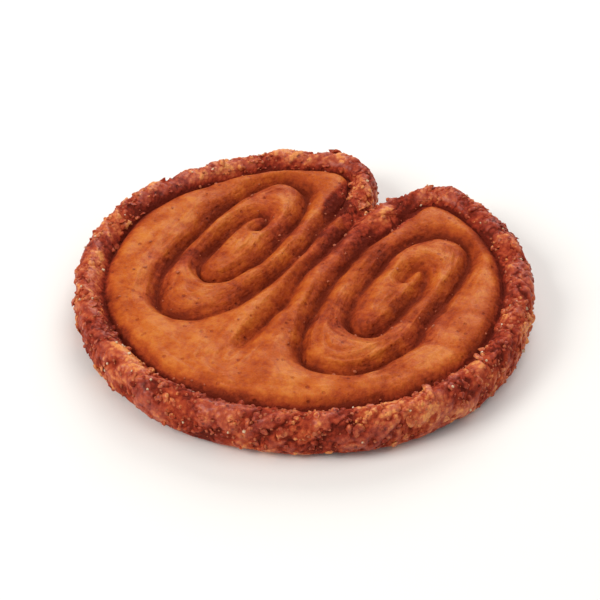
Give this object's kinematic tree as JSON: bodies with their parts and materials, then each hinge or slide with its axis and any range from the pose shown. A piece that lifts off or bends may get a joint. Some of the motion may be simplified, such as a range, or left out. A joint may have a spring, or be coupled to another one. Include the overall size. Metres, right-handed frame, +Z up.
{
  "type": "palmier pastry",
  "caption": "Near-round baked palmier: a rope-like sugared rim round a smooth caramelised face, with two mirrored scrolls and a narrow cleft, for setting on a plate.",
  "frame": {"origin": "middle of the underside's bounding rectangle, on the plane the pastry lies on", "axes": "+Z up out of the shown face, +Y towards the cleft between the lobes, -Y towards the fold end, X across the two lobes"},
  "size_m": [0.0812, 0.0772, 0.009],
  "materials": {
    "browned_crust": "baked, browned and sugared crust, satin where the sugar has caramelised"
  },
  "bodies": {
    "root": {"palmier": "browned_crust"}
  },
  "joints": []
}
